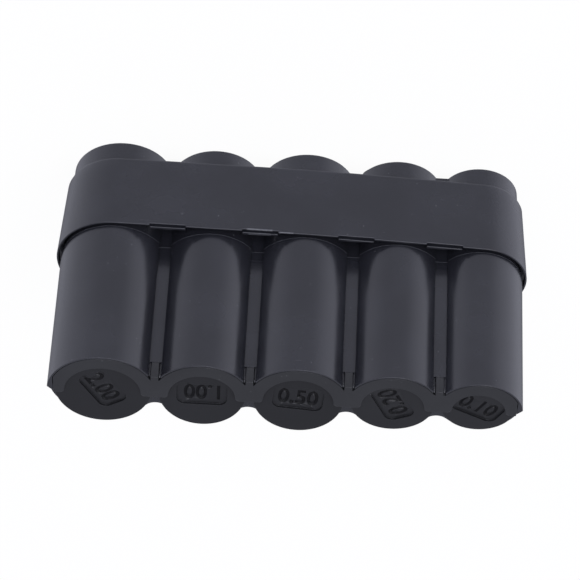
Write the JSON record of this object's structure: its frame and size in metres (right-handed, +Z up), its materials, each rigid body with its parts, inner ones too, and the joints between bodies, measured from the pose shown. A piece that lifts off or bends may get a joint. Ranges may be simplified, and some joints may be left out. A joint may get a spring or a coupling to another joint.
{
  "type": "coin dispenser",
  "caption": "Pocket coin dispenser: a row of round spring-loaded coin tubes moulded as one block, with a lip plate over the outlets and a tapered sleeve round its lower part",
  "frame": {"origin": "centre of the bounding box in plan, on the plane that the closed tube ends stand on", "axes": "X along the row of tubes with the largest tube at -X, Z up from the closed tube ends to the outlets, coins leave towards -Y"},
  "size_m": [0.1288, 0.032, 0.077],
  "materials": {
    "case": "satin black moulding",
    "plate": "satin black moulding",
    "sleeve": "satin black moulding",
    "follower": "matt black moulding",
    "spring": "drawn spring wire"
  },
  "bodies": {
    "case": {"tube_block": "case", "lip_plate": "plate", "band_sleeve": "sleeve", "spring_1": "spring", "spring_2": "spring", "spring_3": "spring", "spring_4": "spring", "spring_5": "spring"},
    "pusher_1": {"follower_1": "follower"},
    "pusher_2": {"follower_2": "follower"},
    "pusher_3": {"follower_3": "follower"},
    "pusher_4": {"follower_4": "follower"},
    "pusher_5": {"follower_5": "follower"}
  },
  "joints": [
    {"name": "follower_1_slide", "type": "slide", "parent": "case", "child": "pusher_1", "axis": [0, 0, -1], "range_m": [0, 0.04], "stiffness_N_per_m": 50, "springref_m": -0.02, "deforming": ["spring_1"]},
    {"name": "follower_2_slide", "type": "slide", "parent": "case", "child": "pusher_2", "axis": [0, 0, -1], "range_m": [0, 0.04], "stiffness_N_per_m": 50, "springref_m": -0.02, "deforming": ["spring_2"]},
    {"name": "follower_3_slide", "type": "slide", "parent": "case", "child": "pusher_3", "axis": [0, 0, -1], "range_m": [0, 0.04], "stiffness_N_per_m": 50, "springref_m": -0.02, "deforming": ["spring_3"]},
    {"name": "follower_4_slide", "type": "slide", "parent": "case", "child": "pusher_4", "axis": [0, 0, -1], "range_m": [0, 0.04], "stiffness_N_per_m": 50, "springref_m": -0.02, "deforming": ["spring_4"]},
    {"name": "follower_5_slide", "type": "slide", "parent": "case", "child": "pusher_5", "axis": [0, 0, -1], "range_m": [0, 0.04], "stiffness_N_per_m": 50, "springref_m": -0.02, "deforming": ["spring_5"]}
  ]
}
